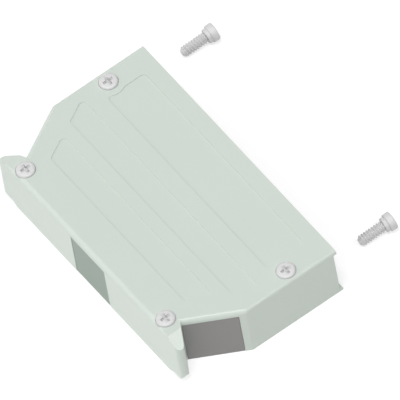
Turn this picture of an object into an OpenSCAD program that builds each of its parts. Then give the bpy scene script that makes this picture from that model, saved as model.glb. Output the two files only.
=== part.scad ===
// Hood for a 37-way D-subminiature connector. A deep plastic shell is screwed
// down on a base plate. The back wall and both flanks have a cable entry, each
// closed by a filler until a cable is fitted, and a clamp behind the back entry
// holds the cable. A nut block behind each end of the connector takes a fixing
// screw. The two fixing screws are taken out and lie in front of the connector
// side.
//
// Frame: X along the length, +Y towards the connector side, Z up, origin at
// the middle of the underside. Lengths in millimetres, angles in degrees.

/* [Shell] */
// Length over the two side walls
hood_length = 69.4; // [62:0.1:76]
// Depth from the edge of the connector side to the back face
hood_depth = 40.1; // [37:0.1:48]
// Height of the roof above the underside
hood_height = 14.1; // [13:0.1:18]
// Thickness of the side, flank and back walls
wall = 1.6; // [1.4:0.1:2]
// Thickness of the roof
roof = 1.3; // [1.2:0.1:2]
// Depth of the slanted flanks, measured forwards from the back face
flank_depth = 16.4; // [15.8:0.1:18]
// Angle of the slanted flanks from the Y axis
flank_angle = 30; // [27:0.5:33]
// Radius of the upright corner between side and flank
corner_r = 0.7; // [0.5:0.1:4]
// Radius of the top edge along the back
back_edge_r = 1.2; // [0.5:0.1:1.2]
// Radius of the top edge along the flanks
flank_edge_r = 1; // [0.3:0.1:1.2]
// Radius of the top edge along the sides
side_edge_r = 0.8; // [0.2:0.1:0.8]

/* [Connector seat] */
// Distance of each fixing screw of the connector from the hood's end
screw_margin = 2.95; // [2.95:0.05:4]
// Depth of the lips that frame the connector's flange
lip_depth = 0.8; // [0.5:0.1:1.5]
// Thickness of the lip under the flange
base_lip = 0.6; // [0.4:0.1:1]
// Thickness of the lip over the flange
roof_lip = 0.95; // [0.6:0.05:1.2]
// Diameter of the holes that the fixing screws pass through
screw_pass_d = 3; // [2.8:0.1:3.4]

/* [Grips] */
// Reach of a grip beyond the edge between flank and back wall
grip_reach = 7.07; // [6:0.01:8]
// Thickness of a grip at its round end
grip_end = 2.2; // [1.8:0.1:3]
// Thickness of a grip where it leaves the flank
grip_root = 4.3; // [3:0.1:4.3]
// Length of the bevel on top of a grip
grip_bevel = 3.4; // [2:0.1:4]
// Drop of that bevel at the grip's end
grip_drop = 2.2; // [1:0.1:3]
// Radius of the top edge along the back of a grip's bevel
grip_edge_r = 0.3; // [0.1:0.1:0.6]
// Length over which the back edge of the roof sharpens towards that bevel
grip_run = 3.4; // [2:0.1:3.4]
// Height of a grip's lower edge above the underside
grip_foot = 1.1; // [0.5:0.1:1.4]
// Distance beyond the edge between flank and back wall where that edge rises
grip_foot_in = 2.1; // [1.5:0.1:2.5]
// Radius of a grip's lower outer corner
grip_lower_r = 1.8; // [0.5:0.1:2.5]

/* [Cable entries] */
// Width of the entry in the back wall
back_entry = 12; // [8:0.1:13]
// Width of the entry in each flank
flank_entry = 12.3; // [8:0.1:12.4]
// Distance of the flank entry from the side corner
entry_margin = 1.6; // [1.4:0.1:2]
// Depth of a filler's face below the outside of the wall
filler_recess = 0.1; // [0.05:0.05:0.6]
// Thickness of a filler's inner flange
filler_flange = 1; // [0.8:0.1:1.4]

/* [Roof panels] */
// Depth of the recessed panels
panel_depth = 0.15; // [0.1:0.05:0.6]
// Corner radius of the panels
panel_r = 1; // [0.5:0.1:1.2]
// Distance of the wide panel from the connector edge
wide_panel_in = 3.9; // [2.5:0.1:4.5]
// Depth of the wide panel in front, from its front edge to its back edge
wide_panel = 9.8; // [8:0.1:10.2]
// Distance of the wide panel from the hood's ends
wide_margin = 6.1; // [5:0.1:8]
// Depth of the middle panel, which ends just in front of the side corners
middle_panel = 5.55; // [4:0.05:5.6]
// Distance of the middle panel from the hood's ends
middle_margin = 2.7; // [2.5:0.1:5]
// Distance from the line of the side corners to the middle panel in front of it
panel_edge = 0.4; // [0.2:0.1:1]
// Distance from that line to the narrow panel behind it
narrow_panel_in = 2.7; // [2:0.1:3.5]
// Depth of the narrow panel between the flanks
narrow_panel = 5.6; // [4:0.1:6]
// Distance of the narrow panel from the hood's ends
narrow_margin = 7.6; // [7:0.1:10]
// Radius of the round that each panel leaves clear about a cover screw
screw_clear_r = 3.7; // [3:0.1:4]

/* [Base] */
// Thickness of the base plate
base = 1.5; // [1.2:0.1:2]
// Radius of the posts that the cover screws bite into
post_r = 1.95; // [1.8:0.05:2]

/* [Cover screws] */
// Distance of the front pair from the hood's ends
front_pair_in = 2.95; // [2.9:0.05:4]
// Distance of the front pair from the connector edge
front_pair_back = 11; // [10.5:0.1:13]
// Distance of the rear pair beyond the edge between flank and back wall, less
// than nothing where it stands short of that edge
rear_pair_out = -0.18; // [-1:0.01:0.35]
// Distance of the rear pair from the back face
rear_pair_in = 2.45; // [2.45:0.05:3.2]
// Shank diameter
cover_shank_d = 2.5; // [2:0.1:2.6]
// Head diameter
cover_head_d = 4.3; // [3.8:0.1:4.6]
// Head height
cover_head_h = 1.4; // [1:0.1:1.6]
// Depth that a head is sunk into the roof
cover_sink = 0.8; // [0.4:0.1:0.9]

/* [Fixing screws] */
// Thread diameter
thread_d = 2.6; // [2:0.1:2.7]
// Thread pitch
thread_pitch = 0.65; // [0.45:0.05:0.8]
// Length of the threaded shank
thread_length = 6.2; // [5:0.1:8]
// Diameter of the collar under the head
collar_d = 3.4; // [2.8:0.1:3.8]
// Length of the collar
collar_length = 0.9; // [0.6:0.1:2]
// Head diameter
fixing_head_d = 4.1; // [3.6:0.1:5]
// Head length
fixing_head_h = 1.6; // [1.2:0.1:2.5]
// Gap between the connector edge and the tips of the loose screws
loose_gap = 9.25; // [4:0.05:20]
// Sideways shift of the loose screws from their holes
loose_shift = -3.8; // [-6:0.1:6]
// Turn of the loose screws on the surface
loose_turn = 3.5; // [-10:0.5:10]

/* [Cable clamp] */
// Diameter of the cable passage
cable_d = 8; // [5:0.1:8.4]
// Width of the clamp strap
strap_width = 4; // [3:0.1:6]
// Thickness of the clamp strap
strap = 0.8; // [0.5:0.1:1]
// Distance of the strap's middle from the back face
clamp_in = 8.2; // [7:0.1:12]
// Distance of the clamp's screws from the side of the cable
clamp_side = 4.4; // [4:0.1:6]
// Height of the clamp's posts
clamp_post_top = 4.6; // [4:0.1:5.5]
// Radius of the clamp's posts
clamp_post_r = 2; // [1.8:0.1:2.5]
// Shank diameter of the clamp's screws
clamp_shank_d = 2; // [1.6:0.1:2.4]
// Head diameter of the clamp's screws
clamp_head_d = 3.6; // [3:0.1:4]
// Head height of the clamp's screws
clamp_head_h = 1.2; // [0.8:0.1:1.4]

/* [Hidden] */
$fn = 48;

hood_green = [0.80, 0.85, 0.81];
filler_green = [0.64, 0.69, 0.65];
filler_grey = [0.54, 0.54, 0.53];
screw_steel = [0.80, 0.80, 0.80];
nut_brass = [0.78, 0.66, 0.38];

gap = 0.1;                       // clearance between fixed pieces
play = 0.05;                     // clearance round a screw in its thread
over = 1;                        // overshoot of cutting shapes
far = 200;                       // longer than anything here

half_length = hood_length / 2;
front_y = hood_depth / 2;
back_y = -hood_depth / 2;
seat_y = front_y - lip_depth;
corner_y = back_y + flank_depth;
ceiling = hood_height - roof;
entry_height = ceiling - gap;    // the entries stop just under the roof
axis_z = (base_lip + hood_height - roof_lip) / 2;

// x of the flank's plane at y, moved inwards by inset
function flank_x(y, inset = 0) =
    half_length + (sin(flank_angle) * (y - corner_y) - inset) / cos(flank_angle);

// right half of the plan, from the connector side to the back
function half_plan(inset, front) = [
    [half_length - inset, front],
    [half_length - inset, corner_y + inset * tan(flank_angle / 2)],
    [flank_x(back_y + inset, inset), back_y + inset]];

// a list of points followed by its mirror image, as one closed outline
function both_sides(pts) = concat(pts,
    [for (i = [len(pts) - 1:-1:0]) [-pts[i][0], pts[i][1]]]);

// a closed convex outline with every corner rounded by radius r
function unit(v) = v / norm(v);
function corner_arc(a, b, c, r, steps = 6) =
    let (u = unit(a - b), v = unit(c - b), half = acos(u * v) / 2,
         m = b + unit(u + v) * r / sin(half),
         p = b + u * r / tan(half) - m, q = b + v * r / tan(half) - m,
         start = atan2(p[1], p[0]),
         sweep = (atan2(q[1], q[0]) - start + 540) % 360 - 180)
    [for (i = [0:steps]) m + r * [cos(start + sweep * i / steps),
                                  sin(start + sweep * i / steps)]];
function rounded(pts, r) = [
    for (i = [0:len(pts) - 1])
        each corner_arc(pts[(i + len(pts) - 1) % len(pts)], pts[i],
                        pts[(i + 1) % len(pts)], r)];

// the four cover screws, as places on the plan
front_pair_y = front_y - front_pair_back;
rear_pair_y = back_y + rear_pair_in;
front_pair_x = half_length - front_pair_in;
rear_pair_x = flank_x(back_y) + rear_pair_out;
cover_places = [[-front_pair_x, front_pair_y], [front_pair_x, front_pair_y],
                [-rear_pair_x, rear_pair_y], [rear_pair_x, rear_pair_y]];
post_rise = 0.3;                 // height of the posts above the hood's middle
column_wall = 0.4;
shank_room = 0.15;               // clearance round a screw's shank in its hole
point_room = 1;                  // room between a screw's point and the plate
post_top = hood_height / 2 + post_rise;
head_seat = hood_height - cover_sink;
sink_r = cover_head_d / 2 + play;
shank_end = base + point_room;

// the nut blocks behind the connector seat
screw_x = half_length - screw_margin;
block_size = 4.2;                // width and height of a block
block_length = 4.1;
seat_web = 1.4;                  // wall between the flange and the block
housing_wall = 0.7;
housing_back_wall = 1.1;
block_front = seat_y - seat_web - play;
housing_x = screw_x - block_size / 2 - play - housing_wall;
housing_back = block_front - block_length - play - housing_back_wall;

// the middle of each flank entry, on the outside of the wall
flank_mid = entry_margin + flank_entry / 2;
flank_place = [half_length - flank_mid * sin(flank_angle),
               corner_y - flank_mid * cos(flank_angle)];

// places a shape made for the outside of a wall: its +Y points into the hood
module at_back() translate([0, back_y, 0]) children();
module at_flank(side) mirror([side < 0 ? 1 : 0, 0, 0])
    translate([flank_place[0], flank_place[1], 0])
        rotate(90 - flank_angle) children();

// ---- Upper shell ----

// half-space to the inside of a wall, with its top edge rounded by r.
// The wall stands at y = 0 and the inside is +Y.
module edged_half_space(r) {
    translate([-far / 2, 0, 0]) rotate([90, 0, 90]) linear_extrude(far) {
        square([far, hood_height - r]);
        translate([r, 0]) square([far, hood_height]);
        translate([r, hood_height - r]) circle(r);
    }
}

module plan_solid() {
    m = [half_length - corner_r, corner_y + corner_r * tan(flank_angle / 2)];
    pts = [[half_length, front_y], [half_length, m[1]],
           m + corner_r * [cos(flank_angle), -sin(flank_angle)],
           [flank_x(back_y), back_y]];
    linear_extrude(hood_height) {
        polygon(both_sides(pts));
        for (side = [-1, 1]) translate([side * m[0], m[1]]) circle(corner_r);
    }
}

module shell_outside() {
    intersection() {
        plan_solid();
        at_back() edged_half_space(back_edge_r);
        at_flank(1) edged_half_space(flank_edge_r);
        at_flank(-1) edged_half_space(flank_edge_r);
        translate([half_length, 0, 0]) rotate(90) edged_half_space(side_edge_r);
        translate([-half_length, 0, 0]) rotate(-90) edged_half_space(side_edge_r);
    }
}

// inside of the back wall's top edge at a grip: round as on the wall, then a
// flat that narrows until the edge is sharp where the bevel begins
module grip_top(bevel_x) {
    run_angle = atan((sqrt(2) - 1) * back_edge_r / grip_run);
    at_back() edged_half_space(back_edge_r);
    intersection() {
        at_back() edged_half_space(grip_edge_r);
        translate([bevel_x, back_y, hood_height]) rotate([-45, 0, 0])
            rotate(-run_angle) translate([-far, 0, -far]) cube([2 * far, far, 2 * far]);
    }
}

// a finger grip: the end of the back wall carried on past the flank
module grip() {
    tip = flank_x(back_y) + grip_reach;
    foot_x = flank_x(back_y) + grip_foot_in;
    end_r = grip_end / 2;
    m = [tip - end_r, back_y + end_r];
    root = [flank_x(back_y + grip_root), back_y + grip_root];
    lean = atan2(m[1] - root[1], m[0] - root[0]) + asin(end_r / norm(m - root));
    intersection() {
        linear_extrude(hood_height) {
            polygon([[rear_pair_x, back_y], [m[0], back_y], m,
                     m + end_r * [cos(lean + 90), sin(lean + 90)],
                     root, [rear_pair_x, root[1]]]);
            translate(m) circle(end_r);
        }
        grip_top(tip - grip_bevel);
        translate([0, far / 2, 0]) rotate([90, 0, 0]) linear_extrude(far) {
            polygon([[0, 0], [foot_x, 0], [foot_x + grip_foot, grip_foot],
                     [tip - grip_lower_r, grip_foot], [tip, grip_foot + grip_lower_r],
                     [tip, hood_height - grip_drop],
                     [tip - grip_bevel, hood_height], [0, hood_height]]);
            translate([tip - grip_lower_r, grip_foot + grip_lower_r])
                circle(grip_lower_r);
        }
    }
}

// one recessed panel: its front edge, its depth, its half width in front, and
// whether its ends slant like the flanks
module panel(front, depth, half, slants)
    polygon(rounded(both_sides([
        [half, front],
        [half - (slants ? depth * tan(flank_angle) : 0), front - depth]]), panel_r));

module roof_panels() difference() {
    union() {
        panel(front_y - wide_panel_in, wide_panel, half_length - wide_margin, false);
        panel(corner_y + panel_edge + middle_panel, middle_panel,
              half_length - middle_margin, true);
        panel(corner_y - narrow_panel_in, narrow_panel,
              half_length - narrow_margin, true);
    }
    for (place = cover_places) translate(place) circle(screw_clear_r);
}

// walls, roof and grips, hollowed from below
module shell_hollow() {
    difference() {
        union() {
            shell_outside();
            for (side = [0, 1]) mirror([side, 0, 0]) grip();
        }
        translate([0, 0, -over]) linear_extrude(ceiling + over)
            polygon(both_sides(half_plan(wall, front_y + over)));
        translate([-far / 2, seat_y, -over])
            cube([far, far, hood_height - roof_lip + over]);
    }
}

// ribs under the roof that hold a filler's flange against the wall
guide_rib = 1;
module filler_guides(width) {
    for (place = [-width / 2 + 2 * guide_rib, width / 2 - guide_rib])
        translate([place, wall + filler_flange, base + gap])
            cube([guide_rib, guide_rib, ceiling - base]);
}

module entry_cut(width) {
    translate([-width / 2, -over, -over])
        cube([width, wall + 2 * over, entry_height + over]);
}

module upper_shell() color(hood_green) {
    difference() {
        union() {
            shell_hollow();
            // columns round the cover screws
            for (place = cover_places)
                translate([place[0], place[1], post_top])
                    cylinder(r = post_r + column_wall, h = ceiling - post_top + gap);
            // housings for the nut blocks
            for (side = [0, 1]) mirror([side, 0, 0])
                translate([housing_x, housing_back, base + gap])
                    cube([half_length - wall / 2 - housing_x,
                          seat_y - housing_back, ceiling - base]);
            at_back() filler_guides(back_entry);
            for (side = [-1, 1]) at_flank(side) filler_guides(flank_entry);
        }
        at_back() entry_cut(back_entry);
        for (side = [-1, 1]) at_flank(side) entry_cut(flank_entry);
        for (place = cover_places) translate([place[0], place[1], 0]) {
            translate([0, 0, -over]) cylinder(r = post_r + gap, h = post_top + over);
            cylinder(r = cover_shank_d / 2 + shank_room, h = hood_height + over);
            translate([0, 0, head_seat]) cylinder(r = sink_r, h = cover_sink + over);
        }
        for (side = [-1, 1]) translate([side * screw_x, 0, 0]) {
            translate([-block_size / 2 - play, block_front - block_length - play, -over])
                cube([block_size + 2 * play, block_length + 2 * play,
                      axis_z + block_size / 2 + play + over]);
            translate([0, seat_y + over, axis_z]) rotate([90, 0, 0])
                cylinder(d = screw_pass_d, h = seat_y - housing_back + 2 * over);
        }
        translate([0, 0, hood_height - panel_depth])
            linear_extrude(panel_depth + over) roof_panels();
    }
}

// ---- Base plate ----

clamp_x = cable_d / 2 + clamp_side;
clamp_y = back_y + clamp_in;
cable_z = entry_height / 2;
cradle_rim = 1;                  // wall of the cradle beside the cable

module base_plate() color(hood_green) difference() {
    union() {
        linear_extrude(base)
            polygon(both_sides(half_plan(wall + gap, seat_y)));
        // lip under the connector's flange
        linear_extrude(base_lip) {
            polygon(both_sides(half_plan(wall + gap, front_y)));
            translate([-half_length, seat_y]) square([hood_length, lip_depth]);
        }
        for (place = cover_places) translate(place) cylinder(r = post_r, h = post_top);
        // pedestals that carry the nut blocks
        for (side = [0, 1]) mirror([side, 0, 0])
            translate([screw_x - block_size / 2 + gap,
                       block_front - block_length + gap, base - gap])
                cube([half_length - wall - gap - screw_x + block_size / 2 - gap,
                      block_length - 2 * gap,
                      axis_z - block_size / 2 - base + gap]);
        // cradle and posts of the cable clamp
        translate([-cable_d / 2 - cradle_rim, clamp_y - strap_width / 2, base - gap])
            cube([cable_d + 2 * cradle_rim, strap_width, clamp_post_top - base + gap]);
        for (side = [-1, 1]) translate([side * clamp_x, clamp_y, 0])
            cylinder(r = clamp_post_r, h = clamp_post_top);
    }
    for (place = cover_places) translate([place[0], place[1], base])
        cylinder(d = cover_shank_d + 2 * play, h = far);
    for (side = [-1, 1]) translate([side * clamp_x, clamp_y, base])
        cylinder(d = clamp_shank_d + 2 * play, h = far);
    translate([0, clamp_y + strap_width, cable_z]) rotate([90, 0, 0])
        cylinder(d = cable_d, h = 2 * strap_width);
}

// ---- Cover screws ----

module pan_head(r, h, edge) rotate_extrude() {
    square([r - edge, h]);
    square([r, h - edge]);
    intersection() {
        translate([r - edge, h - edge]) circle(edge);
        square([r, h]);
    }
}

module cross_recess(across, slot, deep, top) {
    for (turn = [0, 90]) rotate(turn)
        translate([-across / 2, -slot / 2, top - deep])
            cube([across, slot, deep + over]);
}

// a pan-head screw: head seat at z = seat, shank down to z = end
point_h = 0.6;                   // height of the cone at a screw's end
head_edge = 0.4;                 // head's rounding as a share of its height
cross_across = 0.6;              // cross recess as shares of the head's diameter
cross_slot = 0.16;
cross_deep = 0.65;               // and of its height
module pan_screw(place, seat, end, shank_d, head_d, head_h)
    translate([place[0], place[1], 0]) difference() {
        union() {
            translate([0, 0, seat]) pan_head(head_d / 2, head_h, head_h * head_edge);
            translate([0, 0, end + point_h])
                cylinder(d = shank_d, h = seat - end - point_h + gap);
            translate([0, 0, end])
                cylinder(d1 = shank_d / 2, d2 = shank_d, h = point_h);
        }
        cross_recess(head_d * cross_across, head_d * cross_slot,
                     head_h * cross_deep, seat + head_h);
    }

module cover_screw(i) color(screw_steel)
    pan_screw(cover_places[i], head_seat, shank_end, cover_shank_d,
              cover_head_d, cover_head_h);

// ---- Fillers ----

flange_reach = 0.7;              // beyond the entry at the side corner
flange_short = 0.9;              // short of the entry at the rear column

// a plate that fills an entry, with a flange behind the wall. The flange is
// wider than the entry at the side corner and stops short of the rear column.
module filler(width) {
    translate([-width / 2 + gap / 2, filler_recess, 0])
        cube([width - gap, wall + gap - filler_recess, entry_height - gap / 2]);
    translate([-width / 2 + flange_short, wall + gap / 2, base])
        cube([width - flange_short + flange_reach, filler_flange - gap / 2,
              entry_height - base - gap]);
}

// ---- Nut blocks ----

module nut_block(side) color(nut_brass)
    translate([side * screw_x, block_front, axis_z]) rotate([90, 0, 0])
        difference() {
            translate([-block_size / 2, -block_size / 2, 0])
                cube([block_size, block_size, block_length]);
            translate([0, 0, -over]) cylinder(d = thread_d, h = block_length + 2 * over);
        }

// ---- Fixing screws ----

tip_cone = 0.45;                 // length of the bevel at the tip
tip_narrowing = 0.15;            // tip's radius below the thread's root
thread_depth = 0.3;
thread_turns = floor((thread_length - tip_cone) / thread_pitch);
fixing_length = thread_length + collar_length + fixing_head_h;
slot_width = 0.7;
slot_depth = 0.9;
head_bevel = 0.25;
slot_turn = 25;                  // turn of the slot against the surface

// a fixing screw along +Z with its tip at the origin
module fixing_screw_upright() difference() {
    union() {
        rotate_extrude() polygon(concat(
            [[0, 0], [thread_d / 2 - thread_depth - tip_narrowing, 0]],
            [for (i = [0:2 * thread_turns])
                [thread_d / 2 - (i % 2 == 0 ? thread_depth : 0),
                 tip_cone + i * thread_pitch / 2]],
            [[thread_d / 2 - thread_depth, thread_length + gap],
             [0, thread_length + gap]]));
        translate([0, 0, thread_length]) cylinder(d = collar_d, h = collar_length + gap);
        translate([0, 0, thread_length + collar_length]) rotate_extrude() polygon([
            [0, 0], [fixing_head_d / 2, 0],
            [fixing_head_d / 2, fixing_head_h - head_bevel],
            [fixing_head_d / 2 - head_bevel, fixing_head_h], [0, fixing_head_h]]);
    }
    translate([-fixing_head_d, -slot_width / 2, fixing_length - slot_depth])
        cube([2 * fixing_head_d, slot_width, slot_depth + over]);
}

// it rests on its first full thread crest and on the rim of its head
crest_at = tip_cone + thread_pitch / 2;
rim_at = thread_length + collar_length;
lie_angle = atan((fixing_head_d - thread_d) / 2 / (rim_at - crest_at));
lie_height = thread_d / 2 * cos(lie_angle) - crest_at * sin(lie_angle);

module fixing_screw(side) color(screw_steel)
    translate([side * screw_x + loose_shift, front_y + loose_gap, lie_height])
        rotate([-90 + lie_angle, 0, -loose_turn]) rotate(slot_turn)
            fixing_screw_upright();

// ---- Cable clamp ----

foot = clamp_x + clamp_post_r;
module arch(r) {
    translate([0, cable_z]) circle(r);
    translate([-r, 0]) square([2 * r, cable_z]);
}

module clamp_strap() color(screw_steel) difference() {
    translate([0, clamp_y + strap_width / 2, 0]) rotate([90, 0, 0])
        linear_extrude(strap_width) difference() {
            union() {
                translate([-foot, clamp_post_top]) square([2 * foot, strap]);
                arch(cable_d / 2 + strap);
            }
            arch(cable_d / 2);
            translate([-far / 2, clamp_post_top - far]) square([far, far]);
        }
    for (side = [-1, 1]) translate([side * clamp_x, clamp_y, clamp_post_top - over])
        cylinder(d = clamp_shank_d + 2 * shank_room, h = strap + 2 * over);
}

module clamp_screw(side) color(screw_steel)
    pan_screw([side * clamp_x, clamp_y], clamp_post_top + strap, base + point_h,
              clamp_shank_d, clamp_head_d, clamp_head_h);

upper_shell();
base_plate();
cover_screw(0);  // cover_screw_front_left
cover_screw(1);  // cover_screw_front_right
cover_screw(2);  // cover_screw_rear_left
cover_screw(3);  // cover_screw_rear_right
color(filler_green) at_back() filler(back_entry);  // back_filler
color(filler_grey) at_flank(-1) filler(flank_entry);  // flank_filler_left
color(filler_grey) at_flank(1) filler(flank_entry);  // flank_filler_right
nut_block(-1);  // nut_block_left
nut_block(1);  // nut_block_right
fixing_screw(-1);  // fixing_screw_left
fixing_screw(1);  // fixing_screw_right
clamp_strap();
clamp_screw(-1);  // clamp_screw_left
clamp_screw(1);  // clamp_screw_right
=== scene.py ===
# %% [markdown]
# # Hood for a 37-way D-subminiature connector
#
# A deep moulded shell is screwed down on a base plate. Fillers close the cable
# entries in the back wall and in both flanks, and two slotted fixing screws lie
# in front of the connector side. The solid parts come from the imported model,
# which is the frame: everything here is placed from it, in metres.

# %% Load the frame
import math

import bmesh
import bpy
from mathutils import Matrix, Quaternion, Vector


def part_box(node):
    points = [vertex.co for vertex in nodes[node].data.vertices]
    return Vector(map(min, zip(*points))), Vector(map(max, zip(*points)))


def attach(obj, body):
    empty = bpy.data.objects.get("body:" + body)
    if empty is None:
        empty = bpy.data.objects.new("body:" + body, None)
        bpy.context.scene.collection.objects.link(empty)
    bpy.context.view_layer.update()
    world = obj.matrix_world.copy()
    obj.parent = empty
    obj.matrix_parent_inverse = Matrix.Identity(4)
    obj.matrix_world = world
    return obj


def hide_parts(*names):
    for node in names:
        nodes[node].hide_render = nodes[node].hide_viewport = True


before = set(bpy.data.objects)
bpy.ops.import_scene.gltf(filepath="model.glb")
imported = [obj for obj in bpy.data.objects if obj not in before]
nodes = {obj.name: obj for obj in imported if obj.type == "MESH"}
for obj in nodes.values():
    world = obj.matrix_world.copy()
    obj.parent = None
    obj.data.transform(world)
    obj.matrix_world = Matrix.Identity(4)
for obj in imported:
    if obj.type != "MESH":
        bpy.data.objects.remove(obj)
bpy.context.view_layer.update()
MM = 0.001

# %% [markdown]
# ## Camera
#
# The hood is seen from above, from its right end and partly from the back,
# without perspective: lines that are parallel on the hood stay parallel in the
# picture. A long lens far away comes close to that, but an orthographic camera
# does it exactly. It is placed on a sphere round the hood by its azimuth and
# elevation, then rolled about its own line of sight. It looks at a point level
# with the roof, a few millimetres from the hood's middle towards the right end
# and the loose screws.

# %% Camera
AZIMUTH, ELEVATION, ROLL = (math.radians(a) for a in (62.8, 54.8, -11.05))
VIEW_WIDTH = 84.12 * MM
AIM_X, AIM_Y = 5.3 * MM, 5.9 * MM
STAND_OFF = 0.4
roof_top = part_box("upper_shell")[1].z

camera_data = bpy.data.cameras.new("camera")
camera_data.type = "ORTHO"
camera_data.ortho_scale = VIEW_WIDTH
camera = bpy.data.objects.new("camera", camera_data)
bpy.context.scene.collection.objects.link(camera)
bpy.context.scene.camera = camera

towards_camera = Vector((math.sin(AZIMUTH) * math.cos(ELEVATION),
                         -math.cos(AZIMUTH) * math.cos(ELEVATION),
                         math.sin(ELEVATION)))
looks_at = Vector((AIM_X, AIM_Y, roof_top))
camera.rotation_mode = "QUATERNION"
camera.rotation_quaternion = ((-towards_camera).to_track_quat("-Z", "Y")
                              @ Quaternion((0, 0, 1), ROLL))
camera.location = looks_at + towards_camera * STAND_OFF
camera_data.clip_start, camera_data.clip_end = 0.01, 10
print("camera at", [round(v, 3) for v in camera.location])

# %% [markdown]
# ## A helper for turned forms
#
# Screws are turned on a lathe, so their meshes can be made the same way: an
# outline of (radius, height) points is spun round the Z axis. Where the radius
# may also change with the angle, the same grid of rings makes a screw thread.

# %% Rings of points, closed at both ends
def ring_mesh(name, rings):
    """A closed mesh from rings of points, each ring with as many points."""
    mesh = bmesh.new()
    rows = [[mesh.verts.new(p) for p in ring] for ring in rings]
    for low, high in zip(rows, rows[1:]):
        for i in range(len(low)):
            j = (i + 1) % len(low)
            mesh.faces.new((low[i], low[j], high[j], high[i]))
    mesh.faces.new(reversed(rows[0]))
    mesh.faces.new(rows[-1])
    data = bpy.data.meshes.new(name)
    mesh.to_mesh(data)
    mesh.free()
    made = bpy.data.objects.new(name, data)
    bpy.context.scene.collection.objects.link(made)
    return made


def circle_points(radius, z, count):
    return [(radius * math.cos(2 * math.pi * i / count),
             radius * math.sin(2 * math.pi * i / count), z) for i in range(count)]


def turned(name, outline, count=64):
    """Spins an outline of (radius, height) in millimetres round Z."""
    return ring_mesh(name, [circle_points(r * MM, z * MM, count) for r, z in outline])


def bead(radius, height, bend, steps=6):
    """Outline points of a rounded top edge of a cylinder."""
    return [(radius - bend + bend * math.cos(a), height - bend + bend * math.sin(a))
            for a in (math.pi / 2 * i / steps for i in range(steps + 1))]


# %% [markdown]
# ## Threads
#
# A thread is one ridge wound round the shank. A Screw modifier could wind it,
# but its ends would need closing by hand. On a grid of rings, the radius of each
# point can follow from how far it is, along and around, from the ridge, so the
# mesh stays closed. The ridge has a rounded crest, fades in within the first
# turn at the tip and fades out under the head, as a rolled thread does.

# %% A threaded shank along Z
THREAD_SIDES = 48
STEPS_A_TURN = 14
TIP_SHARE = 0.72            # radius of the tip as a share of the thread's root
FADE_IN = 1.5               # how fast the ridge grows at the tip, per turn
CREST_WIDTH = 0.8           # below 1 the crest is wider than the root


def threaded_shank(name, outer, depth, pitch, start, end, tip):
    """Millimetres: outer radius, thread depth, pitch, the shank's two ends, and
    the height of the cone at its lower end."""
    count = int((end - start) / pitch * STEPS_A_TURN) + 1
    rings = []
    for k in range(count + 1):
        z = start + (end - start) * k / count
        taper = min(1, (z - start) / tip)
        fade = max(0, min(1, (z - start - tip / 2) / pitch * FADE_IN, (end - z) / pitch))
        ring = []
        for i in range(THREAD_SIDES):
            angle = 2 * math.pi * i / THREAD_SIDES
            phase = (z / pitch - angle / (2 * math.pi)) % 1
            ridge = (0.5 - 0.5 * math.cos(2 * math.pi * phase)) ** CREST_WIDTH
            radius = (outer - depth) * (TIP_SHARE + (1 - TIP_SHARE) * taper)
            radius += depth * ridge * fade
            ring.append((radius * MM * math.cos(angle),
                         radius * MM * math.sin(angle), z * MM))
        rings.append(ring)
    return ring_mesh(name, rings)


# %% [markdown]
# ## Joining and cutting
#
# A screw's recess is punched or milled into its head, and a boolean does the
# same to a mesh. Its result is baked into the mesh, so that the piece carries no
# modifier. The bevel that takes off the sharpness is baked in the same way.
# Smooth shading with a limit on the angle then keeps round faces round and edges
# sharp.

# %% Helpers that cut, join and shade
def bake(piece):
    """Replaces a piece's mesh by what its modifiers make of it."""
    depsgraph = bpy.context.evaluated_depsgraph_get()
    made = bpy.data.meshes.new_from_object(piece.evaluated_get(depsgraph))
    piece.modifiers.clear()
    piece.data = made


def cut(piece, tool):
    knife = piece.modifiers.new("cut", "BOOLEAN")
    knife.operation = "DIFFERENCE"
    knife.solver = "EXACT"
    knife.object = tool
    bake(piece)
    bpy.data.objects.remove(tool)


def rounded_edges(piece, width, limit=35):
    """Takes the sharpness off the edges that the cuts left."""
    soft = piece.modifiers.new("soft edges", "BEVEL")
    soft.width = width * MM
    soft.segments = 2
    soft.limit_method = "ANGLE"
    soft.angle_limit = math.radians(limit)
    bake(piece)


def joined(name, parts):
    whole = bmesh.new()
    for part in parts:
        whole.from_mesh(part.data)
        bpy.data.objects.remove(part)
    data = bpy.data.meshes.new(name)
    whole.to_mesh(data)
    whole.free()
    made = bpy.data.objects.new(name, data)
    bpy.context.scene.collection.objects.link(made)
    return made


def shade_smooth(piece, limit=32):
    for face in piece.data.polygons:
        face.use_smooth = True
    piece.data.set_sharp_from_angle(angle=math.radians(limit))


def settle(piece, node):
    """Hands a finished piece over: it rides with the hood in the node's place."""
    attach(piece, "root")
    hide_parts(node)
    print(f"{piece.name}: {len(piece.data.polygons)} faces")


# %% [markdown]
# ## Pan-head screws
#
# Four cover screws sit in round pockets in the roof, and two smaller ones hold
# the cable clamp. Each has a low head with a rounded edge and a cross recess. A
# dark cross painted on the head would look flat from the side, so the recess is
# cut. It is not a plain cross: its four arms narrow downwards, and a cone in the
# middle joins them, so the cutting tool is made of two tapered blades and a cone.

# %% The cross-recess tool
def tapered_blade(name, half_length, half_width, top, bottom, taper):
    """A blade from top down to bottom that is taper times as long below."""
    def corner(x, y, z, k):
        return (x * k * MM, y * (k + 1) / 2 * MM, z * MM)
    signs = ((-1, -1), (1, -1), (1, 1), (-1, 1))
    rings = [[corner(sx * half_length, sy * half_width, z, k) for sx, sy in signs]
             for z, k in ((bottom, taper), (top, 1))]
    return ring_mesh(name, rings)


ABOVE_HEAD = 0.05           # how far a cutting tool stands out of the head
ARM_FOOT = 0.45             # length of the cross's foot as a share of its top
CONE_FOOT_R, CONE_SINK = 0.12, 0.1
CONE_TOP = 0.95             # radius of the cone's top as a share of an arm's width
CONE_SIDES = 24


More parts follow.
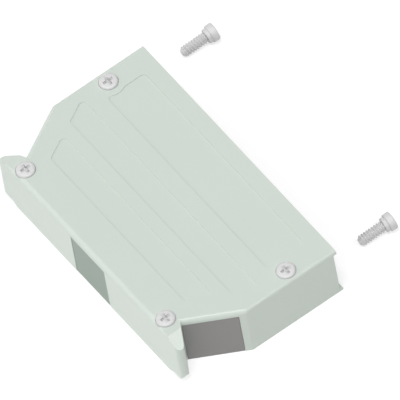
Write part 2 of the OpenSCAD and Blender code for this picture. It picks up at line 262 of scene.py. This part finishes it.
def cut_cross(head, across, width, top, deep):
    high = top + ABOVE_HEAD
    for turn in (0, 90):
        blade = tapered_blade("blade", across / 2, width / 2, high, top - deep, ARM_FOOT)
        blade.data.transform(Matrix.Rotation(math.radians(turn), 4, "Z"))
        cut(head, blade)
    cone = turned("cone", [(CONE_FOOT_R, top - deep - CONE_SINK),
                           (width * CONE_TOP, high)], CONE_SIDES)
    cut(head, cone)


# %% Pan-head screws in place
HEAD_HEIGHT, CROSS_ACROSS, CROSS_ARM = 0.65, 1.22, 0.33     # shares of the radius
HEAD_ROUNDING, CROSS_DEPTH = 0.42, 0.65                     # shares of the height
CROWN_RINGS = ((0.45, 0.01), (0.2, 0.0))                    # share of radius, drop
CROWN, HEAD_RIM, HEAD_WEAR = 0.06, 0.06, 0.035              # millimetres
CORE_R = 0.3                # where a head's flat faces close
RIDGE_SHARE = 0.14          # thread depth as a share of the shank's radius
POINT_LENGTH = 0.6
OVERLAP = 0.1               # how far a shank reaches into what it carries


def pan_screw(node, name, shank_r, pitch):
    """Replaces a packed screw by a detailed one of the same height and width."""
    low, high = (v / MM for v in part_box(node))
    head_r = (high.x - low.x) / 2
    middle = (low + high) / 2
    head_h = head_r * HEAD_HEIGHT
    top, seat = high.z, high.z - head_h
    head = turned("head", [(CORE_R, seat), (head_r - HEAD_RIM, seat),
                           (head_r, seat + HEAD_RIM)]
                  + bead(head_r, top - CROWN, head_h * HEAD_ROUNDING)
                  + [(head_r * share, top - drop) for share, drop in CROWN_RINGS])
    cut_cross(head, head_r * CROSS_ACROSS, head_r * CROSS_ARM, top,
              head_h * CROSS_DEPTH)
    rounded_edges(head, HEAD_WEAR)
    shank = threaded_shank("shank", shank_r, shank_r * RIDGE_SHARE, pitch,
                           low.z, seat + OVERLAP, POINT_LENGTH)
    screw = joined(name, [head, shank])
    screw.data.transform(Matrix.Translation((middle.x * MM, middle.y * MM, 0)))
    shade_smooth(screw)
    settle(screw, node)
    return screw


steel_pieces = []
for place in ("front_left", "front_right", "rear_left", "rear_right"):
    steel_pieces.append(pan_screw(f"cover_screw_{place}", f"cover_pan_{place}",
                                  shank_r=1.25, pitch=0.9))
for side in ("left", "right"):
    steel_pieces.append(pan_screw(f"clamp_screw_{side}", f"clamp_pan_{side}",
                                  shank_r=1.0, pitch=0.7))

# %% [markdown]
# ## Fixing screws
#
# Each fixing screw has a fine thread, a plain collar and a slotted head. Out of
# its hole it lies on its side: it touches the surface with the thread's first
# crest and with the rim of the head, which tips it by a few degrees. A physics
# run could let it fall there, but the angle follows from the two radii and the
# distance between them, so it is worked out. The screw is made upright, turned
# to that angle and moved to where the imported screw's box is.

# %% A fixing screw
THREAD_R, COLLAR_R, HEAD_R = 1.3, 1.7, 2.05
THREAD_END, COLLAR_END, SCREW_END = 6.2, 7.1, 8.7
THREAD_PITCH, THREAD_TIP, THREAD_DEPTH = 0.65, 0.45, 0.3
SLOT_HALF_WIDTH, SLOT_DEPTH = 0.36, 0.9
COLLAR_BEVEL, HEAD_BEVEL, SLOTTED_ROUNDING = 0.12, 0.08, 0.28
COLLAR_OVERLAP = 0.05       # how far the collar reaches into the head
SLOT_OVERSHOOT, SLOT_ABOVE, SLOT_WEAR = 1, 0.1, 0.04
SMOOTH_LIMIT = 40           # degrees
SLOT_TURN = math.radians(25)
LIE_TURN = math.radians(-3.5)
first_crest = THREAD_TIP + THREAD_PITCH / 2
lie_angle = math.atan((HEAD_R - THREAD_R) / (COLLAR_END - first_crest))


def fixing_screw(node, name):
    thread = threaded_shank("thread", THREAD_R, THREAD_DEPTH, THREAD_PITCH,
                            0, THREAD_END + OVERLAP, THREAD_TIP)
    collar = turned("collar", [(COLLAR_R - COLLAR_BEVEL, THREAD_END),
                               (COLLAR_R, THREAD_END + COLLAR_BEVEL),
                               (COLLAR_R, COLLAR_END + COLLAR_OVERLAP)])
    head = turned("head", [(CORE_R, COLLAR_END), (HEAD_R - HEAD_BEVEL, COLLAR_END),
                           (HEAD_R, COLLAR_END + HEAD_BEVEL)]
                  + bead(HEAD_R, SCREW_END, SLOTTED_ROUNDING) + [(CORE_R, SCREW_END)])
    slot = tapered_blade("slot", HEAD_R + SLOT_OVERSHOOT, SLOT_HALF_WIDTH,
                         SCREW_END + SLOT_ABOVE, SCREW_END - SLOT_DEPTH, 1)
    cut(head, slot)
    rounded_edges(head, SLOT_WEAR)
    screw = joined(name, [thread, collar, head])
    lie = (Matrix.Rotation(LIE_TURN, 4, "Z")
           @ Matrix.Rotation(lie_angle - math.pi / 2, 4, "X")
           @ Matrix.Rotation(SLOT_TURN, 4, "Z"))
    screw.data.transform(lie)
    corners = [vertex.co for vertex in screw.data.vertices]
    own_low = Vector([min(c[k] for c in corners) for k in range(3)])
    own_high = Vector([max(c[k] for c in corners) for k in range(3)])
    low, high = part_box(node)
    move = (low + high) / 2 - (own_low + own_high) / 2
    move.z = -own_low.z
    screw.data.transform(Matrix.Translation(move))
    shade_smooth(screw, SMOOTH_LIMIT)
    settle(screw, node)
    return screw


for side in ("left", "right"):
    steel_pieces.append(fixing_screw(f"fixing_screw_{side}", f"slotted_screw_{side}"))
print("lies tipped by", round(math.degrees(lie_angle), 1), "degrees")

# %% [markdown]
# ## Shared shader groups
#
# Two effects turn up in several materials, so each is a node group with named
# inputs. Sizes are in millimetres, and the group turns them into the scale that
# a texture needs on a model in metres.

# %% Start a shader group
def new_group(name, inputs, outputs):
    tree = bpy.data.node_groups.new(name, "ShaderNodeTree")
    for label, kind, value in inputs:
        socket = tree.interface.new_socket(label, in_out="INPUT", socket_type=kind)
        socket.default_value = value
    for label, kind in outputs:
        tree.interface.new_socket(label, in_out="OUTPUT", socket_type=kind)
    return tree, tree.nodes.new("NodeGroupInput"), tree.nodes.new("NodeGroupOutput")


def math_node(tree, operation, first, second=None):
    node = tree.nodes.new("ShaderNodeMath")
    node.operation = operation
    for socket, value in zip(node.inputs, (first, second)):
        if isinstance(value, bpy.types.NodeSocket):
            tree.links.new(value, socket)
        elif value is not None:
            socket.default_value = value
    return node.outputs[0]


# %% [markdown]
# ### Fine grain
#
# A mould's spark-eroded surface and a plated screw's surface are both covered
# with tiny pits. An image of them could be wrapped on each piece, but noise in
# the piece's own coordinates needs no unwrapping. The group gives a height for
# the bump and a slower, wider variation that shifts the colour and the roughness
# a little.

# %% Fine grain group
def noise_at(tree, coordinates, size_socket, detail):
    texture = tree.nodes.new("ShaderNodeTexNoise")
    texture.inputs["Detail"].default_value = detail
    tree.links.new(coordinates, texture.inputs["Vector"])
    per_metre = math_node(tree, "DIVIDE", 1 / MM, size_socket)
    tree.links.new(per_metre, texture.inputs["Scale"])
    return texture.outputs["Fac"]


grain, grain_in, grain_out = new_group(
    "fine grain",
    [("Pit Size", "NodeSocketFloat", 0.15), ("Cloud Size", "NodeSocketFloat", 9.0)],
    [("Height", "NodeSocketFloat"), ("Cloud", "NodeSocketFloat")])
on_piece = grain.nodes.new("ShaderNodeTexCoord").outputs["Object"]
pits = noise_at(grain, on_piece, grain_in.outputs["Pit Size"], 3)
clouds = noise_at(grain, on_piece, grain_in.outputs["Cloud Size"], 2)
grain.links.new(pits, grain_out.inputs["Height"])
grain.links.new(clouds, grain_out.inputs["Cloud"])
print("group:", grain.name)

# %% [markdown]
# ### Softened edges
#
# No moulded or pressed edge is perfectly sharp. The edges could be rounded in the
# mesh, but the imported shapes stay as they are. So the Bevel node bends the normal
# near an edge, and the edge catches light as a small radius would. Where
# the bent normal differs from the true one there is an edge, and that makes a
# mask, at inner and outer edges alike, under which the finishes paint a lighter
# colour: slight wear from handling and a painted highlight.

# %% Softened edges group
MASK_GAIN = 5.0
edges, edges_in, edges_out = new_group(
    "softened edges", [("Radius", "NodeSocketFloat", 0.1)],
    [("Normal", "NodeSocketVector"), ("Mask", "NodeSocketFloat")])
bevel = edges.nodes.new("ShaderNodeBevel")
bevel.samples = 8
edges.links.new(math_node(edges, "MULTIPLY", edges_in.outputs["Radius"], MM),
                bevel.inputs["Radius"])
geometry = edges.nodes.new("ShaderNodeNewGeometry")
facing = edges.nodes.new("ShaderNodeVectorMath")
facing.operation = "DOT_PRODUCT"
edges.links.new(bevel.outputs["Normal"], facing.inputs[0])
edges.links.new(geometry.outputs["Normal"], facing.inputs[1])
bent = math_node(edges, "SUBTRACT", 1.0, facing.outputs["Value"])
raised = math_node(edges, "MULTIPLY", bent, MASK_GAIN)
edges.links.new(math_node(edges, "MINIMUM", raised, 1.0), edges_out.inputs["Mask"])
edges.links.new(bevel.outputs["Normal"], edges_out.inputs["Normal"])
print("group:", edges.name)

# %% [markdown]
# ## Materials
#
# Each finish starts from the same layout: two shades of one colour, mixed by
# the cloud, then a lighter edge colour laid on by the edge mask, which is slight
# wear and a painted highlight, and a bump from the pits on top of the softened
# normal. What is the same all over, such as metal or not, is set on the shader
# itself.

# %% A finish from two shades
ROUGHNESS_SPREAD = 0.12
PIT_DEPTH = 0.02 * MM


def finish(name, colour, edge_highlight_and_wear_colour, roughness, metallic=0.0, radius=0.1,
           pit_size=0.15, cloud_size=9.0, bump=0.1, variation=0.04):
    material = bpy.data.materials.new(name)
    material.use_nodes = True
    tree = material.node_tree
    shader = tree.nodes["Principled BSDF"]
    shader.inputs["Metallic"].default_value = metallic

    fine = tree.nodes.new("ShaderNodeGroup")
    fine.node_tree = grain
    fine.inputs["Pit Size"].default_value = pit_size
    fine.inputs["Cloud Size"].default_value = cloud_size
    soft = tree.nodes.new("ShaderNodeGroup")
    soft.node_tree = edges
    soft.inputs["Radius"].default_value = radius

    clouds = tree.nodes.new("ShaderNodeMix")
    clouds.data_type = "RGBA"
    tree.links.new(fine.outputs["Cloud"], clouds.inputs["Factor"])
    clouds.inputs["A"].default_value = (*(c * (1 - variation) for c in colour), 1)
    clouds.inputs["B"].default_value = (*(c * (1 + variation) for c in colour), 1)
    # lighter colour along the edges: slight wear and a painted highlight
    edge_highlight_and_wear = tree.nodes.new("ShaderNodeMix")
    edge_highlight_and_wear.data_type = "RGBA"
    edge_highlight_and_wear.inputs["B"].default_value = (*edge_highlight_and_wear_colour, 1)
    tree.links.new(soft.outputs["Mask"], edge_highlight_and_wear.inputs["Factor"])
    tree.links.new(clouds.outputs["Result"], edge_highlight_and_wear.inputs["A"])
    tree.links.new(edge_highlight_and_wear.outputs["Result"], shader.inputs["Base Color"])

    spread = math_node(tree, "MULTIPLY_ADD", fine.outputs["Cloud"], ROUGHNESS_SPREAD)
    spread.node.inputs[2].default_value = roughness - ROUGHNESS_SPREAD / 2
    tree.links.new(spread, shader.inputs["Roughness"])

    pitted = tree.nodes.new("ShaderNodeBump")
    pitted.inputs["Strength"].default_value = bump
    pitted.inputs["Distance"].default_value = PIT_DEPTH
    tree.links.new(fine.outputs["Height"], pitted.inputs["Height"])
    tree.links.new(soft.outputs["Normal"], pitted.inputs["Normal"])
    tree.links.new(pitted.outputs["Normal"], shader.inputs["Normal"])
    return material


def dress(material, *pieces):
    for piece in pieces:
        piece.data.materials.clear()
        piece.data.materials.append(material)
    print(f"{material.name}: {len(pieces)} piece(s)")


# %% [markdown]
# ### Shell plastic
#
# The shell and the base plate are moulded in one pale grey-green plastic. It is
# satin: the flat faces look even, and the rounded edges that face the light
# shine softly. A clear coat could give that shine too, but moulded plastic has
# only one surface, so its own roughness does it.

# %% Shell plastic
# the edge colour is a little lighter: a painted highlight along the edges, and slight
# wear
dress(finish("shell plastic", colour=(0.615, 0.68, 0.625),
             edge_highlight_and_wear_colour=(0.645, 0.71, 0.655), roughness=0.34, radius=0.05,
             pit_size=0.12, cloud_size=14, bump=0.12, variation=0.012),
      nodes["upper_shell"], nodes["base_plate"])

# %% [markdown]
# ### Filler plastic
#
# The flank fillers are a mid-grey plastic, duller than the shell, with a faint
# mottling from the moulding. The back filler is a darker tone of the shell's
# green. One grey for all three would be simpler, but it would lose that, so the
# same layout is filled in twice.

# %% Filler plastic
# both fillers' edge colours are lighter: a painted highlight along the edges, and slight
# wear
dress(finish("filler plastic", colour=(0.262, 0.255, 0.252),
             edge_highlight_and_wear_colour=(0.30, 0.30, 0.30), roughness=0.5, radius=0.15,
             pit_size=0.1, cloud_size=5, bump=0.2, variation=0.05),
      nodes["flank_filler_left"], nodes["flank_filler_right"])
dress(finish("back filler plastic", colour=(0.276, 0.338, 0.292),
             edge_highlight_and_wear_colour=(0.30, 0.36, 0.315), roughness=0.5, radius=0.1,
             pit_size=0.1, cloud_size=8, bump=0.15, variation=0.03),
      nodes["back_filler"])

# %% [markdown]
# ### Plated steel
#
# The screws are steel with a pale, nearly matt plating that gives no clear
# reflections. Their edges are painted a little lighter, for slight wear and as a
# painted highlight. The clamp strap is steel sheet, darker and with more of a
# shine, and its edges are lighter in the same way. One finish could serve both,
# but two keep the strap apart from the screws that hold it.

# %% Plated steel
dress(finish("plated steel", colour=(0.60, 0.60, 0.60),
             edge_highlight_and_wear_colour=(0.66, 0.66, 0.66), roughness=0.75, metallic=0.7,
             radius=0.05, pit_size=0.08, cloud_size=1.2, bump=0.15, variation=0.06),
      *steel_pieces)
dress(finish("pressed steel", colour=(0.55, 0.55, 0.54),
             edge_highlight_and_wear_colour=(0.65, 0.65, 0.64), roughness=0.45, metallic=1.0,
             radius=0.08, pit_size=0.1, cloud_size=3, bump=0.2),
      nodes["clamp_strap"])

# %% [markdown]
# ### Nut brass
#
# The nut blocks sit deep in their housings, and only their front faces show
# through the holes. Such nuts are made of steel too, but bare machined brass
# sets them off from the screws that go into them.

# %% Nut brass
# the edge colour is lighter: a painted highlight along the edges, and slight wear
dress(finish("nut brass", colour=(0.72, 0.58, 0.30), edge_highlight_and_wear_colour=(0.82, 0.68, 0.40),
             roughness=0.32, metallic=1.0, radius=0.08, pit_size=0.09, cloud_size=2,
             bump=0.15, variation=0.06),
      nodes["nut_block_left"], nodes["nut_block_right"])

# %% [markdown]
# ## Floor
#
# The hood lies on a plain white surface. White paper alone could be used, but the
# hood's shadow would be darker on it. So about half of its white is a grey paper
# that takes the shadow, and the rest is a glow of its own, which keeps the shadow
# faint. Towards the hood's walls it glows less than towards the camera and
# towards what metal reflects.

# %% Rays that should see a white background
def sees_background(tree):
    path = tree.nodes.new("ShaderNodeLightPath")
    seen = math_node(tree, "ADD", path.outputs["Is Camera Ray"],
                     path.outputs["Is Glossy Ray"])
    seen = math_node(tree, "ADD", seen, path.outputs["Is Transmission Ray"])
    return math_node(tree, "MINIMUM", seen, 1.0)


# %% Floor
FLOOR_REACH = 3
PAPER_GREY = 0.55
PAPER_GLOW, BACKGROUND_GLOW = 0.35, 0.2
floor_data = bpy.data.meshes.new("floor")
floor_data.from_pydata([(x * FLOOR_REACH, y * FLOOR_REACH, 0)
                        for x, y in ((-1, -1), (1, -1), (1, 1), (-1, 1))],
                       [], [(0, 1, 2, 3)])
floor = bpy.data.objects.new("floor", floor_data)
bpy.context.scene.collection.objects.link(floor)

paper = bpy.data.materials.new("white paper")
paper.use_nodes = True
tree = paper.node_tree
shader = tree.nodes["Principled BSDF"]
shader.inputs["Base Color"].default_value = (PAPER_GREY, PAPER_GREY, PAPER_GREY, 1)
shader.inputs["Roughness"].default_value = 1
shader.inputs["Specular IOR Level"].default_value = 0
shader.inputs["Emission Color"].default_value = (1, 1, 1, 1)
glow = math_node(tree, "MULTIPLY_ADD", sees_background(tree), BACKGROUND_GLOW)
glow.node.inputs[2].default_value = PAPER_GLOW
tree.links.new(glow, shader.inputs["Emission Strength"])
dress(paper, floor)

# %% [markdown]
# ## Light
#
# The hood's right end and right flank are a little darker than the rest, with
# soft changes and no hard shadow. So the surround is brighter on the left and
# fades out to the right. A low and very wide lamp lights the back wall. Two
# small lamps above make the bright lines on the rounded roof edges and light the
# right grip's bevel. A faint wide lamp on the left lights the left grip's bevel.
# Lamps near the hood would light its two ends differently, so all of them are sun
# lamps, which are far away and have their width as an angle.

# %% Surround
SURROUND = 0.44
world = bpy.data.worlds.new("surround")
bpy.context.scene.world = world
world.use_nodes = True
tree = world.node_tree
seen = sees_background(tree)
to_the_left = tree.nodes.new("ShaderNodeVectorMath")
to_the_left.operation = "DOT_PRODUCT"
tree.links.new(tree.nodes.new("ShaderNodeTexCoord").outputs["Generated"],
               to_the_left.inputs[0])
to_the_left.inputs[1].default_value = (-SURROUND / 2, 0, 0)
lit = math_node(tree, "ADD", to_the_left.outputs["Value"], SURROUND / 2)
lit = math_node(tree, "MULTIPLY", lit, math_node(tree, "SUBTRACT", 1.0, seen))
tree.links.new(math_node(tree, "ADD", lit, seen),
               tree.nodes["Background"].inputs["Strength"])
tree.nodes["Background"].inputs["Color"].default_value = (1, 1, 1, 1)
print("surround:", SURROUND, "at the left, 0 at the right")


# %% Lamps
def lamp(name, direction, strength, width):
    """A lamp far away in a direction, with its apparent width in degrees."""
    data = bpy.data.lights.new(name, "SUN")
    data.energy = strength
    data.angle = math.radians(width)
    made = bpy.data.objects.new(name, data)
    made.rotation_mode = "QUATERNION"
    made.rotation_quaternion = Vector(direction).to_track_quat("Z", "Y")
    bpy.context.scene.collection.objects.link(made)
    print(f"{name}: strength {strength}, {width} degrees wide")


lamp("low lamp", direction=(0.0, -0.87, 0.49), strength=1.56, width=110)
lamp("overhead lamp", direction=(0.13, -0.11, 0.98), strength=1.0, width=16)
lamp("right lamp", direction=(0.53, 0.26, 0.80), strength=0.7, width=16)
lamp("left lamp", direction=(-0.93, 0.0, 0.37), strength=0.2, width=60)

# %% [markdown]
# ## Finish
#
# Colours are shown as they are, without a film look. The dressed hood must stay
# in the packed model's box.

# %% View
bpy.context.scene.view_settings.view_transform = "Standard"
